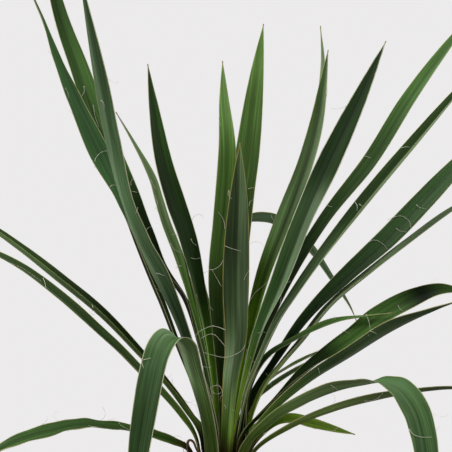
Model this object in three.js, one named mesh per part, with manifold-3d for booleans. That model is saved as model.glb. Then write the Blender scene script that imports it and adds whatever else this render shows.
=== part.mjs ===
// Potted adams needle: a rosette of long sword leaves on a short stem, in soil, in a clay pot.
// Millimetres, +Z up, origin at the centre of the pot's foot. +X is to the right, +Y to the back.
import * as THREE from "three";
import { mergeVertices } from "three/addons/utils/BufferGeometryUtils.js";
import Module from "manifold-3d";

const wasm = await Module();
wasm.setup();

// Pot
const POT_HEIGHT = 190;
const POT_FOOT_RADIUS = 74;
const POT_TOP_RADIUS = 97;
const POT_WALL = 7;
const POT_FLOOR = 9;
const RIM_RADIUS = 106;
const RIM_DEPTH = 34;
const EDGE_ROUND = 2.5;
const POT_SIDES = 64;
const DRAIN_RADIUS = 6;
const DRAIN_PLACE = 42;
const DRAIN_COUNT = 3;
const TOUCH_GAP = 0.3;

// Soil and stem
const SOIL_BELOW_RIM = 14;
const SOIL_LEVEL = POT_HEIGHT - SOIL_BELOW_RIM;
const SOIL_DIP = 3;
const STEM_RADIUS = 28;
const STEM_LENGTH = 60;
const LEAF_FOOT_DEPTH = 9;
const DRY_INNER = 28.4;
const DRY_OUTER = 30.2;
const DRY_SCALES = 13;

// The crown, where the leaves part, and the place that the leaf routes are seen from:
// straight in front, level with the leaves' middle
const CROWN = SOIL_LEVEL + 37;
const VIEW_DISTANCE = 1500;
const VIEW_ACROSS = 4;
const VIEW_UP = 224;

// Blade
const RING_STEP = 2.7;
const FIRST_RING = 3.8;
const NECK_WIDTH = 10;
const KEEL_THICKNESS = 1.2;
const MARGIN_THICKNESS = 0.8;
const TIP_WIDTH = 1.1;
const WIDEST = 0.62;
const NECK_END = 0.14;
const FOLD_DEEP = 30;
const FOLD_FLAT = 13;

const degrees = THREE.MathUtils.degToRad;
const material = (color, roughness) => new THREE.MeshStandardMaterial({ color, roughness, metalness: 0 });
const LEAF_GREEN = material(0x3c6a35, 0.45);
const CLAY = material(0xb5694a, 0.85);
const EARTH = material(0x3a2b20, 0.95);
const STEM_BROWN = material(0x6b5238, 0.9);
const DRY_STRAW = material(0x8a6c4a, 0.9);

// Each leaf: its widest width, the ring of the crown that it grows from, the compass turn of its foot
// (0 right, 90 back), and its route as points [across, up, back, twist]. Across and up are read from the
// crown as seen from the front, back is the depth behind the crown, twist turns the blade in degrees.
// Some have a neck of their own, which is the blade's narrowest width above the foot, or more steps.
const LEAVES = [
  { name: "leaf_01", width: 23, ring: 0, turn: 105, route: [
    [0, 12, 5, 0], [-0.5, 60, 12, 5], [-6, 165, 20, 10], [1, 230, 28, 5], [5, 300, 34, 0],
    [2, 350, 38, 0], [0.5, 389, 42, 0]] },
  { name: "leaf_02", width: 27, ring: 3, turn: 283, neck: 13, route: [
    [4.7, 10, -14, 0], [9, 70, -25, 0], [14.4, 110, -34, 0], [14.2, 150, -46, 0],
    [14.6, 190, -58, 0], [16.5, 250, -76, 0], [18, 307, -92, 0]] },
  { name: "leaf_03", width: 27, ring: 1, turn: 60, neck: 8, route: [
    [4.8, 12, 8, 0], [6, 60, 14, 10], [12.5, 150, 28, 20], [19.2, 250, 44, 25], [26, 300, 52, 25],
    [34.3, 370, 62, 25], [41.5, 426, 72, 25]] },
  { name: "leaf_04", width: 24, ring: 1, turn: 140, neck: 8, route: [
    [-5.5, 12, 6, 0], [-12.6, 100, 15, 2], [-23.5, 160, 20, 0], [-34.5, 210, 27, -11],
    [-47.5, 250, 32, -18], [-59.2, 290, 37, -17], [-69.5, 350, 44, -17], [-74.3, 386, 48, -17]] },
  { name: "leaf_05", width: 30, ring: 2, turn: 15, route: [
    [11.5, 12, 3, 0], [34.5, 110, 12, 22], [58.7, 170, 20, 33], [81.5, 230, 28, 26],
    [108.7, 290, 38, 42], [137, 350, 48, 42], [164, 409, 57, 40]] },
  { name: "leaf_06", width: 24, ring: 2, turn: 95, route: [
    [-1, 12, 12, 0], [2, 100, 38, 0], [6, 180, 74, 0], [12, 250, 112, 0], [18, 312, 150, 0]] },
  { name: "leaf_07", width: 20, ring: 2, turn: 188, route: [
    [-10.3, 15, 0, -8], [-10.8, 55, -1, -12], [-24, 120, 4, -22], [-42.8, 190, 9, -34],
    [-57, 228, 12, -34], [-63.6, 250, 14, -34], [-70.2, 272, 16, -34], [-90, 310, 18, -25],
    [-106, 338, 20, -23]] },
  { name: "leaf_08", width: 26, ring: 3, turn: 45, route: [
    [11, 12, 11, 0], [19, 75, 22, 0], [41, 170, 40, 0], [62.4, 230, 56, 0], [84, 286, 74, 0],
    [95.6, 330, 86, 5], [106.2, 400, 98, 10]] },
  { name: "leaf_09", width: 26, ring: 3, turn: 152, route: [
    [-12, 12, 7, 0], [-12.5, 50, 12, 0], [-17, 80, 14, 0], [-26, 118, 18, 5], [-38, 153, 22, 25],
    [-57.5, 180, 24, 12], [-77.5, 220, 27, -12], [-94.5, 260, 29, -22], [-125, 330, 32, -25],
    [-142.5, 380, 33, -24], [-160.5, 430, 34, -22], [-173, 480, 34, -25], [-181, 530, 34, -25]] },
  { name: "leaf_10", width: 26, ring: 3, turn: 215, route: [
    [-7, 20, -13, 0], [-37.5, 115, -23, 22], [-60, 170, -32, 26], [-80.5, 210, -40, 6],
    [-96.5, 250, -46, -3], [-110.5, 310, -54, 5], [-122, 370, -60, 11], [-137.5, 450, -68, 9],
    [-142.5, 475, -70, 9]] },
  { name: "leaf_11", width: 25, ring: 4, turn: 355, route: [
    [16, 12, -2, 0], [25, 60, -4, 15], [33, 80, -3, 20], [56, 130, 4, 25], [69.5, 151, 8, 27],
    [96.8, 190, 12, 28], [143, 250, 18, 30], [193.4, 310, 24, 30], [231, 354, 28, 30],
    [271, 399, 33, 30]] },
  { name: "leaf_12", width: 13, ring: 4, turn: 56, route: [
    [11, 12, 16.5, 0], [41, 170, 66, 0], [63, 230, 88, 0], [84, 285, 110, 0], [97, 340, 130, 0],
    [101, 385, 143, 0], [98.5, 424, 153, 0]] },
  { name: "leaf_13", width: 18, ring: 4, turn: 125, route: [
    [-9, 14, 15.5, 0], [-13, 110, 54, 0], [-25, 170, 88, 0], [-33, 205, 118, 0], [-41, 234, 144, 0]] },
  { name: "leaf_14", width: 26, ring: 4, turn: 180, route: [
    [-16, 12, -1, 0], [-29, 65, -1, -5], [-42.5, 100, -1, -10], [-59.5, 145, -1, -10],
    [-70, 170, -2, -10], [-86, 210, -2, -8], [-101, 250, -1, -25], [-125, 300, 0, -50],
    [-148, 350, 2, -36], [-165, 390, 3, -24], [-179, 430, 4, -10], [-187.5, 450, 5, -12],
    [-194, 468, 5, -12]] },
  { name: "leaf_15", width: 28, ring: 5, turn: 340, route: [
    [19.5, 12, -6, 0], [51, 47.6, -1, 15], [86, 82, 6, 29], [128, 111.5, 14, 43],
    [158, 134.3, 20, 55], [193, 153, 28, 67], [218, 161, 34, 65], [248, 158.5, 40, 53]] },
  { name: "leaf_16", width: 26, ring: 5, turn: 16, route: [
    [18.5, 12, 5.5, 8], [25.5, 60, 10, 16], [38.5, 105, 22, 22], [67.5, 170, 40, 22],
    [103.5, 230, 58, 17], [149.5, 290, 82, 22], [186.5, 350, 102, 26], [222.3, 400, 120, 26],
    [263, 450, 142, 28]] },
  { name: "leaf_17", width: 22, ring: 5, turn: 90, route: [
    [0, 12, 20, 0], [1, 60, 38, 0], [4, 130, 106, 0], [12, 185, 184, 0], [14, 212, 240, 0],
    [14, 216, 280, 0]] },
  { name: "leaf_18", width: 25, ring: 5, turn: 172, route: [
    [-21.5, 16, 1, -22], [-38.5, 43.5, 4, -28], [-57.5, 68.5, 6, -18], [-82, 95.8, 8, -16],
    [-122, 137.5, 12, -15], [-162, 170.8, 16, -13], [-202, 202, 19, -11], [-240, 227.5, 22, -12],
    [-290, 247, 26, -12]] },
  { name: "leaf_19", width: 28, ring: 5, turn: 240, neck: 17, steps: 26, route: [
    [-12, 10, -18, 0], [-17.5, 40, -28, 5], [-23.5, 62, -37, 8], [-29.5, 82, -47, 8],
    [-34, 99, -61, 2], [-39.5, 110, -84, -13], [-50, 114.8, -110, -18], [-60, 105.5, -138, -10],
    [-67, 87, -154, 0], [-72, 64, -162, 0], [-76.5, 38, -168, 0], [-81, 10, -172, 0],
    [-85, -20, -176, 0], [-90, -62, -180, 0], [-93, -105, -182, 0]] },
  { name: "leaf_20", width: 15, ring: 6, turn: 18, route: [
    [23, 12, 8.5, 0], [27.5, 60, 19, -10], [44.5, 92.5, 21, 6], [72, 110.5, 24, 4],
    [108, 127.8, 26, 16], [148, 134.5, 15, 2], [170, 137, 8, -5]] },
  { name: "leaf_21", width: 29, ring: 6, turn: 47, route: [
    [16, 14, 17.5, 0], [29, 50, 29, 20], [54.5, 90, 45, 0], [82.5, 130, 63, 4], [121, 170, 88, 12],
    [164.5, 210, 116, 17], [203, 250, 144, 17], [241, 290, 170, 14], [300, 345, 210, 0]] },
  { name: "leaf_22", width: 12.5, ring: 6, turn: 76, steps: 24, route: [
    [6, 12, 22.5, 0], [12, 70, 46, 0], [10, 130, 80, 0], [9.5, 190, 112, 0], [14, 218, 128, -30],
    [22, 229.5, 137, -50], [32, 232.6, 145, -64], [42, 232.8, 153, -62], [52, 231, 162, -56],
    [68, 222.5, 176, -53], [89.5, 202, 192, -56], [109.5, 173, 208, -60], [128, 144, 222, -60],
    [135, 128, 228, -60]] },
  { name: "leaf_23", width: 14, ring: 6, turn: 132, route: [
    [-16, 14, 22, 20], [-37, 44, 44, 44], [-59.5, 71.5, 70, 44], [-82, 98, 96, 40],
    [-102, 119, 118, 30], [-118, 136, 136, 20]] },
  { name: "leaf_24", width: 24, ring: 6, turn: 186, route: [
    [-26, 11.5, -4, -16], [-39.5, 33, -6, -38], [-59, 56, -8, -32], [-83, 80, -10, -22],
    [-102, 99.5, -12, -20], [-122, 117.8, -14, -20], [-142, 136.5, -16, -20],
    [-162, 153.8, -18, -19], [-202, 183.5, -20, -18], [-240, 202.5, -23, -18], [-276, 214, -26, -18]] },
  { name: "leaf_25", width: 26, ring: 6, turn: 315, neck: 15.5, steps: 24, route: [
    [25, 4, -19, -2], [45, 25.5, -31, -16], [63, 39, -42, -23], [108, 60, -67, -23],
    [142, 67.5, -87, -8], [160, 69.5, -98, 7], [178, 62, -112, 25], [194, 40, -124, 48],
    [200.5, 20, -130, 57], [204.5, -2, -134, 57], [207, -60, -138, 57], [206, -105, -138, 57]] },
  { name: "leaf_26", width: 24, ring: 7, turn: 28, route: [
    [24.5, 14, 13.5, 0], [40, 60, 22, -12], [60, 87, 33, -18], [80.5, 111, 48, -16],
    [108, 145, 62, -14], [148, 178.5, 82, -8], [188, 209.5, 102, -5], [230, 240.5, 122, 0],
    [276, 267, 146, -6]] },
  { name: "leaf_27", width: 13, ring: 7, turn: 62, route: [
    [13, 12, 25, 0], [28, 43, 46, -12], [38, 60, 58, -24], [50, 72.8, 70, -30], [63, 81.2, 82, -26],
    [79, 89.8, 94, -12], [89, 94.6, 103, -6], [100, 99, 112, -4], [114, 103, 121, -4]] },
  { name: "leaf_28", width: 24, ring: 7, turn: 98, steps: 20, route: [
    [-2, 10, 26, 0], [-4, 60, 70, 0], [-5, 98, 120, 0], [-5, 116, 175, 0], [-5, 108, 230, 0],
    [-6, 84, 280, 0], [-6, 50, 315, 0]] },
  { name: "leaf_29", width: 20, ring: 7, turn: 182, route: [
    [-34, 0.5, -2, -26], [-48, 8, -3, -44], [-66, 14.5, -4, -40], [-93, 21.5, -6, -20],
    [-112, 23.5, -8, -16], [-140, 26, -10, -22], [-172, 19.5, -13, -36], [-207, 9, -16, -45],
    [-245, -10, -20, -34]] },
  { name: "leaf_30", width: 22, ring: 7, turn: 352, route: [
    [25, 6, -5, -10], [48, 37, -12, -34], [88, 71.5, -21, -33], [128, 97.5, -30, -31],
    [168, 123, -36, -38], [208, 139, -42, -26], [241, 151, -47, -9]] },
  { name: "leaf_31", width: 12, ring: 8, turn: 36, route: [
    [25.5, 12, 20.5, 0], [28.5, 44, 36, 0], [46, 61.5, 48.5, 0], [71, 78.5, 66, 0],
    [100, 93, 84, 0], [118, 101, 96, 0]] },
  { name: "leaf_32", width: 14, ring: 8, turn: 4, route: [
    [28.5, 0, 3, 0], [52, 25.5, 10, 22], [68, 31.5, 12, 38], [90, 26.8, 16, 45], [112, 21, 20, 45],
    [133, 15.5, 24, 45]] },
  { name: "leaf_33", width: 19, ring: 8, turn: 338, route: [
    [32, -2, -10, -5], [68, 23, -14, -20], [108, 39.5, -18, -27], [148, 51, -22, -26],
    [199, 59.5, -26, -16], [230, 62, -29, -16], [254, 60.5, -31, -14], [278, 57, -34, -10]] },
  { name: "leaf_34", width: 20, ring: 8, turn: 74, route: [
    [10, 6, 30, 0], [40, 25.5, 62, 0], [68, 41.5, 104, 0], [92, 54.5, 150, 0], [112, 61, 190, 0],
    [124, 64, 214, 0]] },
];

// The low leaves arch out over the rim and hang beside the pot. Reach is how far each one leads out, lift
// raises its arch; LOW_ARCH is the arch's shape as [share of the reach, height over the crown].
const LOW_LEAVES = [
  { name: "leaf_35", width: 24, ring: 7, turn: 228, reach: 205, lift: 9 },
  { name: "leaf_36", width: 25, ring: 7, turn: 272, reach: 225, lift: 12 },
  { name: "leaf_37", width: 23, ring: 7, turn: 312, reach: 200, lift: 8 },
  { name: "leaf_38", width: 24, ring: 8, turn: 206, reach: 230, lift: 4 },
  { name: "leaf_39", width: 25, ring: 8, turn: 250, reach: 190, lift: 5 },
  { name: "leaf_40", width: 24, ring: 8, turn: 293, reach: 215, lift: 7 },
  { name: "leaf_41", width: 22, ring: 8, turn: 150, reach: 220, lift: 0 },
  { name: "leaf_42", width: 20, ring: 8, turn: 114, reach: 200, lift: 0 },
];
const LOW_START = 30;
const LOW_ARCH = [
  [0.06, -22], [0.2, -18.5], [0.36, -18], [0.52, -27], [0.75, -60], [0.92, -105], [1, -140],
];

const ringRadius = (ring) => FIRST_RING + RING_STEP * ring;

// A point that is seen at across and up from the front, at that depth behind the crown
function seenAt(across, up, back) {
  const spread = (VIEW_DISTANCE + back) / VIEW_DISTANCE;
  return new THREE.Vector3(
    VIEW_ACROSS + (across - VIEW_ACROSS) * spread,
    back,
    CROWN + VIEW_UP + (up - VIEW_UP) * spread,
  );
}

// The foot stands upright in its ring of the crown, then the route leads out
function footPoints(ring, turn) {
  const radius = ringRadius(ring);
  const heading = degrees(turn);
  const foot = SOIL_LEVEL - LEAF_FOOT_DEPTH + TOUCH_GAP;
  return [foot, foot + 14].map(
    (height) => new THREE.Vector3(radius * Math.cos(heading), radius * Math.sin(heading), height),
  );
}

function lowRoute(leaf) {
  const heading = degrees(leaf.turn);
  return LOW_ARCH.map(([share, up]) => {
    const out = LOW_START + leaf.reach * share;
    const height = CROWN + up + leaf.lift * Math.sin(Math.PI * share);
    return new THREE.Vector3(out * Math.cos(heading), out * Math.sin(heading), height);
  });
}

const smooth = (value) => THREE.MathUtils.smoothstep(value, 0, 1);

function bladeWidth(share, leaf) {
  const { width } = leaf;
  const neck = leaf.neck ?? Math.min(NECK_WIDTH, 2.1 * ringRadius(leaf.ring), 0.62 * width);
  if (share < WIDEST) return neck + (width - neck) * smooth((share - NECK_END) / (WIDEST - NECK_END));
  const toTip = (share - WIDEST) / (1 - WIDEST);
  return Math.max(TIP_WIDTH, width * (1 - toTip ** 2.2));
}

// How far each half of the blade is folded up: round the stem at the foot, deep above it, shallow beyond
function foldAngle(share, width, ring) {
  const atFoot = width / (4 * ringRadius(ring));
  const leaving = smooth((share - 0.06) / 0.16);
  const opened = smooth((share - 0.3) / 0.35);
  const blade = degrees(FOLD_DEEP + (FOLD_FLAT - FOLD_DEEP) * opened);
  return atFoot + (blade - atFoot) * leaving;
}

// Six corners of the section at one station: margin, keel and margin of the upper face, then of the lower
function sectionAt(curve, share, leaf, twists) {
  const at = curve.getUtoTmapping(share);
  const place = curve.getPoint(at);
  const along = curve.getTangent(at);
  const knot = Math.min(Math.floor(at * (twists.length - 1)), twists.length - 2);
  const between = at * (twists.length - 1) - knot;
  const twist = degrees(twists[knot] + (twists[knot + 1] - twists[knot]) * smooth(between));
  const heading = degrees(leaf.turn);
  const side = new THREE.Vector3(-Math.sin(heading), Math.cos(heading), 0);
  side.addScaledVector(along, -side.dot(along)).normalize().applyAxisAngle(along, twist);
  const upper = along.clone().cross(side).normalize();
  const width = bladeWidth(share, leaf);
  const fold = foldAngle(share, width, leaf.ring);
  const reach = (width / 2) * Math.cos(fold);
  const rise = (width / 4) * Math.sin(fold);
  const keel = KEEL_THICKNESS / 2;
  const margin = MARGIN_THICKNESS / 2;
  const corner = (out, lift) => place.clone().addScaledVector(side, out).addScaledVector(upper, lift);
  return [
    corner(-reach, rise + margin), corner(0, keel - rise), corner(reach, rise + margin),
    corner(reach, rise - margin), corner(0, -keel - rise), corner(-reach, rise - margin),
  ];
}

const CORNERS = 6;
const KEEL_CORNER = 1;

function indexed(points, faces) {
  const geometry = new THREE.BufferGeometry();
  const places = points.flatMap((point) => point.toArray());
  geometry.setAttribute("position", new THREE.Float32BufferAttribute(places, 3));
  geometry.setIndex(faces);
  geometry.computeVertexNormals();
  return geometry;
}

function bladeGeometry(sections) {
  const last = (sections.length - 1) * CORNERS;
  const faces = [];
  for (let a = 0; a < last; a += CORNERS) {
    const b = a + CORNERS;
    // Each quad is split outwards from the keel, alike on the upper and the lower face
    for (let p = 0; p < CORNERS; p++) {
      const q = (p + 1) % CORNERS;
      if (p % 3 === 0) faces.push(a + p, b + p, a + q, b + p, b + q, a + q);
      else faces.push(a + p, b + p, b + q, a + p, b + q, a + q);
    }
  }
  for (let p = 2; p < CORNERS; p++) {
    const q = (p + 1) % CORNERS;
    faces.push(KEEL_CORNER, p, q);
    faces.push(last + KEEL_CORNER, last + q, last + p);
  }
  return indexed(sections.flat(), faces);
}

function leafMesh(leaf) {
  const foot = footPoints(leaf.ring, leaf.turn);
  const route = leaf.route ? leaf.route.map((point) => seenAt(...point)) : lowRoute(leaf);
  const twists = leaf.route ? leaf.route.map((point) => point[3]) : route.map(() => 0);
  twists.unshift(...foot.map(() => 0));
  const curve = new THREE.CatmullRomCurve3([...foot, ...route], false, "centripetal");
  const steps = leaf.steps ?? 18;
  const sections = [];
  for (let i = 0; i <= steps; i++) sections.push(sectionAt(curve, i / steps, leaf, twists));
  const mesh = new THREE.Mesh(bladeGeometry(sections), LEAF_GREEN);
  mesh.name = leaf.name;
  return mesh;
}

function solidOf(geometry) {
  const bare = geometry.clone();
  bare.deleteAttribute("normal");
  bare.deleteAttribute("uv");
  const merged = mergeVertices(bare, 1e-4);
  const mesh = new wasm.Mesh({
    numProp: 3,
    vertProperties: merged.attributes.position.array,
    triVerts: new Uint32Array(merged.index.array),
  });
  return new wasm.Manifold(mesh);
}

function geometryOf(solid) {
  const mesh = solid.getMesh();
  const geometry = new THREE.BufferGeometry();
  geometry.setAttribute("position", new THREE.BufferAttribute(mesh.vertProperties, 3));
  geometry.setIndex(new THREE.BufferAttribute(mesh.triVerts, 1));
  geometry.computeVertexNormals();
  return geometry;
}

// A turned solid about +Z, from an outline of [radius, height] points that starts and ends on the axis
function turned(outline, sides = POT_SIDES) {
  const geometry = new THREE.LatheGeometry(outline.map(([x, y]) => new THREE.Vector2(x, y)), sides);
  geometry.rotateX(Math.PI / 2);
  return geometry;
}

function wallRadiusAt(height) {
  return POT_FOOT_RADIUS + (POT_TOP_RADIUS - POT_FOOT_RADIUS) * (height / POT_HEIGHT);
}

function potMesh() {
  const rimFoot = POT_HEIGHT - RIM_DEPTH;
  const innerTop = wallRadiusAt(POT_HEIGHT) - POT_WALL;
  const innerFoot = wallRadiusAt(POT_FLOOR) - POT_WALL;
  const body = solidOf(turned([
    [0, 0], [POT_FOOT_RADIUS - EDGE_ROUND, 0], [POT_FOOT_RADIUS, EDGE_ROUND],
    [wallRadiusAt(rimFoot), rimFoot], [RIM_RADIUS - 2 * EDGE_ROUND, rimFoot],
    [RIM_RADIUS - EDGE_ROUND, rimFoot + EDGE_ROUND], [RIM_RADIUS, POT_HEIGHT - EDGE_ROUND],
    [RIM_RADIUS - EDGE_ROUND, POT_HEIGHT], [innerTop + EDGE_ROUND, POT_HEIGHT],
    [innerTop, POT_HEIGHT - EDGE_ROUND], [innerFoot + EDGE_ROUND, POT_FLOOR + 2 * EDGE_ROUND],
    [innerFoot - EDGE_ROUND, POT_FLOOR], [0, POT_FLOOR],
  ]));
  let pot = body;
  for (let i = 0; i < DRAIN_COUNT; i++) {
    const around = (2 * Math.PI * i) / DRAIN_COUNT;
    const drain = new THREE.CylinderGeometry(DRAIN_RADIUS, DRAIN_RADIUS, 3 * POT_FLOOR, 16);
    drain.rotateX(Math.PI / 2);
    drain.translate(DRAIN_PLACE * Math.cos(around), DRAIN_PLACE * Math.sin(around), POT_FLOOR / 2);
    pot = pot.subtract(solidOf(drain));
  }
  const mesh = new THREE.Mesh(geometryOf(pot), CLAY);
  mesh.name = "pot";
  return mesh;
}

// The soil fills the pot to a little below the rim, with a plain hole that the stem stands in
function soilMesh() {
  const inner = (height) => wallRadiusAt(height) - POT_WALL - TOUCH_GAP;
  const foot = POT_FLOOR + TOUCH_GAP;
  const corner = foot + 2 * EDGE_ROUND;
  const edge = inner(SOIL_LEVEL);
  const hole = DRY_OUTER + TOUCH_GAP;
  const holeFoot = SOIL_LEVEL - LEAF_FOOT_DEPTH - STEM_LENGTH - TOUCH_GAP;
  const body = turned([
    [0, foot], [inner(corner) - 3 * EDGE_ROUND, foot], [inner(corner) - EDGE_ROUND, corner],
    [edge - EDGE_ROUND, SOIL_LEVEL - SOIL_DIP], [edge - 8 * EDGE_ROUND, SOIL_LEVEL - 1],
    [hole + 8 * EDGE_ROUND, SOIL_LEVEL - SOIL_DIP / 2], [hole, SOIL_LEVEL], [hole, holeFoot],
    [0, holeFoot],
  ], 48);
  const mesh = new THREE.Mesh(body, EARTH);
  mesh.name = "soil";
  return mesh;
}

// The short stem under the leaves, whose flat top carries the rings of leaf feet
function stemMesh() {
  const top = SOIL_LEVEL - LEAF_FOOT_DEPTH;
  const foot = top - STEM_LENGTH;
  const body = turned([
    [0, foot], [STEM_RADIUS * 0.55, foot], [STEM_RADIUS * 0.85, foot + STEM_LENGTH * 0.25],
    [STEM_RADIUS, top - STEM_LENGTH * 0.35], [STEM_RADIUS, top], [0, top],
  ], 32);
  const mesh = new THREE.Mesh(body, STEM_BROWN);
  mesh.name = "stem";
  return mesh;
}

// The collar of dry leaf bases round the crown, its top edge cut into points
function dryBasesMesh() {
  const foot = SOIL_LEVEL - LEAF_FOOT_DEPTH - 10;
  const low = SOIL_LEVEL + 1;
  const high = SOIL_LEVEL + 4.5;
  const stops = DRY_SCALES * 4;
  const rows = [];
  for (let i = 0; i < stops; i++) {
    const around = (2 * Math.PI * i) / stops;
    const top = low + (high - low) * (1 - Math.abs((i % 4) - 2) / 2);
    const outline = [
      [DRY_INNER, foot], [DRY_OUTER, foot], [DRY_OUTER, low],
      [DRY_OUTER, top], [DRY_INNER + 0.4, top], [DRY_INNER, low],
    ];
    rows.push(outline.map(
      ([radius, height]) => new THREE.Vector3(radius * Math.cos(around), radius * Math.sin(around), height),
    ));
  }
  const corners = rows[0].length;
  const faces = [];
  for (let i = 0; i < stops; i++) {
    const a = i * corners;
    const b = ((i + 1) % stops) * corners;
    for (let p = 0; p < corners; p++) {
      const q = (p + 1) % corners;
      faces.push(a + p, b + p, b + q, a + p, b + q, a + q);
    }
  }
  const mesh = new THREE.Mesh(indexed(rows.flat(), faces), DRY_STRAW);
  mesh.name = "dry_bases";
  return mesh;
}

const plant = new THREE.Group();
plant.add(potMesh(), soilMesh(), stemMesh(), dryBasesMesh());
for (const leaf of [...LEAVES, ...LOW_LEAVES]) plant.add(leafMesh(leaf));

export default plant;
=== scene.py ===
"""Potted adams needle: fine blades, threads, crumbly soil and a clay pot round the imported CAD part."""
import math
import random

import bmesh
import bpy
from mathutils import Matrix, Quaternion, Vector, noise
from mathutils.bvhtree import BVHTree


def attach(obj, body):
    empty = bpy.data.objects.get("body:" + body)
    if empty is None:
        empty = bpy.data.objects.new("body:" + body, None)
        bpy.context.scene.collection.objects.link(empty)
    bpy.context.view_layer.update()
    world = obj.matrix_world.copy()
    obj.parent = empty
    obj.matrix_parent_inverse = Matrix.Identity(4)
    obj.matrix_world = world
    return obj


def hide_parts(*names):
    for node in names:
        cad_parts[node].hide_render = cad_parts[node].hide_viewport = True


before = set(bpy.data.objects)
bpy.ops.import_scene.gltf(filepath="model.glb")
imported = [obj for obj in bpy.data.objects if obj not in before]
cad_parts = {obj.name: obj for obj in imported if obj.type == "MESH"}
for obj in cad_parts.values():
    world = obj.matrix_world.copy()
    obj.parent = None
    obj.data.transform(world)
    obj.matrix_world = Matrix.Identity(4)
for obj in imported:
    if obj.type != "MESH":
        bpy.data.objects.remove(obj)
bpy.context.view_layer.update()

MM = 0.001

# The same figures as the CAD source, in millimetres
POT_HEIGHT, POT_FOOT_RADIUS, POT_TOP_RADIUS, POT_WALL, POT_FLOOR = 190, 74, 97, 7, 9
RIM_RADIUS, RIM_DEPTH = 106, 34
DRAIN_RADIUS, DRAIN_PLACE, DRAIN_COUNT = 6, 42, 3
SOIL_LEVEL = POT_HEIGHT - 14
CROWN = SOIL_LEVEL + 37
VIEW_DISTANCE, VIEW_ACROSS, VIEW_UP = 1500, 4, 224
RING_STEP, FIRST_RING = 2.7, 3.8
NECK_WIDTH, TIP_WIDTH, WIDEST, NECK_END = 10, 1.1, 0.62, 0.14
FOLD_DEEP, FOLD_FLAT = 30, 13
STEM_RADIUS, TOUCH_GAP, LEAF_FOOT_DEPTH = 28, 0.3, 9
FOOT = SOIL_LEVEL - LEAF_FOOT_DEPTH + TOUCH_GAP
STRAIGHT_TO = FOOT + 14
LOW_START = 30
LOW_ARCH = [(0.06, -22), (0.2, -18.5), (0.36, -18), (0.52, -27), (0.75, -60), (0.92, -105), (1, -140)]

FRAME_PIXELS = 452
MIDDLE = FRAME_PIXELS / 2
EYE = Vector((VIEW_ACROSS, -VIEW_DISTANCE, CROWN + VIEW_UP))
UP = Vector((0, 0, 1))


# The leaves by the number in their names
LEAVES = {}


def leaf(number, width, ring, turn, route, neck=None):
    """A leaf's widest width, the crown ring that it grows from, where its foot faces (0 right, 90 back) and
    its route of (across, up, back) from the crown, as seen from the front, with a twist where it isn't 0."""
    stops = [(*stop, 0)[:4] for stop in route]
    LEAVES[number] = dict(width=width, ring=ring, turn=turn, route=stops, neck=neck)


def low(number, width, ring, turn, reach, lift):
    """A leaf that arches out over the rim and hangs beside the pot, by its reach and the lift of its arch."""
    LEAVES[number] = dict(width=width, ring=ring, turn=turn, reach=reach, lift=lift, neck=None)


leaf(1, 23, 0, 105, [(0, 12, 5), (-0.5, 60, 12, 5), (-6, 165, 20, 10), (1, 230, 28, 5), (5, 300, 34),
    (2, 350, 38), (0.5, 389, 42)])
leaf(2, 27, 3, 283, [(4.7, 10, -14), (9, 70, -25), (14.4, 110, -34), (14.2, 150, -46), (14.6, 190, -58),
    (16.5, 250, -76), (18, 307, -92)], neck=13)
leaf(3, 27, 1, 60, [(4.8, 12, 8), (6, 60, 14, 10), (12.5, 150, 28, 20), (19.2, 250, 44, 25),
    (26, 300, 52, 25), (34.3, 370, 62, 25), (41.5, 426, 72, 25)], neck=8)
leaf(4, 24, 1, 140, [(-5.5, 12, 6), (-12.6, 100, 15, 2), (-23.5, 160, 20), (-34.5, 210, 27, -11),
    (-47.5, 250, 32, -18), (-59.2, 290, 37, -17), (-69.5, 350, 44, -17), (-74.3, 386, 48, -17)], neck=8)
leaf(5, 30, 2, 15, [(11.5, 12, 3), (34.5, 110, 12, 22), (58.7, 170, 20, 33), (81.5, 230, 28, 26),
    (108.7, 290, 38, 42), (137, 350, 48, 42), (164, 409, 57, 40)])
leaf(6, 24, 2, 95, [(-1, 12, 12), (2, 100, 38), (6, 180, 74), (12, 250, 112), (18, 312, 150)])
leaf(7, 20, 2, 188, [(-10.3, 15, 0, -8), (-10.8, 55, -1, -12), (-24, 120, 4, -22), (-42.8, 190, 9, -34),
    (-57, 228, 12, -34), (-63.6, 250, 14, -34), (-70.2, 272, 16, -34), (-90, 310, 18, -25),
    (-106, 338, 20, -23)])
leaf(8, 26, 3, 45, [(11, 12, 11), (19, 75, 22), (41, 170, 40), (62.4, 230, 56), (84, 286, 74),
    (95.6, 330, 86, 5), (106.2, 400, 98, 10)])
leaf(9, 26, 3, 152, [(-12, 12, 7), (-12.5, 50, 12), (-17, 80, 14), (-26, 118, 18, 5), (-38, 153, 22, 25),
    (-57.5, 180, 24, 12), (-77.5, 220, 27, -12), (-94.5, 260, 29, -22), (-125, 330, 32, -25),
    (-142.5, 380, 33, -24), (-160.5, 430, 34, -22), (-173, 480, 34, -25), (-181, 530, 34, -25)])
leaf(10, 26, 3, 215, [(-7, 20, -13), (-37.5, 115, -23, 22), (-60, 170, -32, 26), (-80.5, 210, -40, 6),
    (-96.5, 250, -46, -3), (-110.5, 310, -54, 5), (-122, 370, -60, 11), (-137.5, 450, -68, 9),
    (-142.5, 475, -70, 9)])
leaf(11, 25, 4, 355, [(16, 12, -2), (25, 60, -4, 15), (33, 80, -3, 20), (56, 130, 4, 25), (69.5, 151, 8, 27),
    (96.8, 190, 12, 28), (143, 250, 18, 30), (193.4, 310, 24, 30), (231, 354, 28, 30), (271, 399, 33, 30)])
leaf(12, 13, 4, 56, [(11, 12, 16.5), (41, 170, 66), (63, 230, 88), (84, 285, 110), (97, 340, 130),
    (101, 385, 143), (98.5, 424, 153)])
leaf(13, 18, 4, 125, [(-9, 14, 15.5), (-13, 110, 54), (-25, 170, 88), (-33, 205, 118), (-41, 234, 144)])
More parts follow.
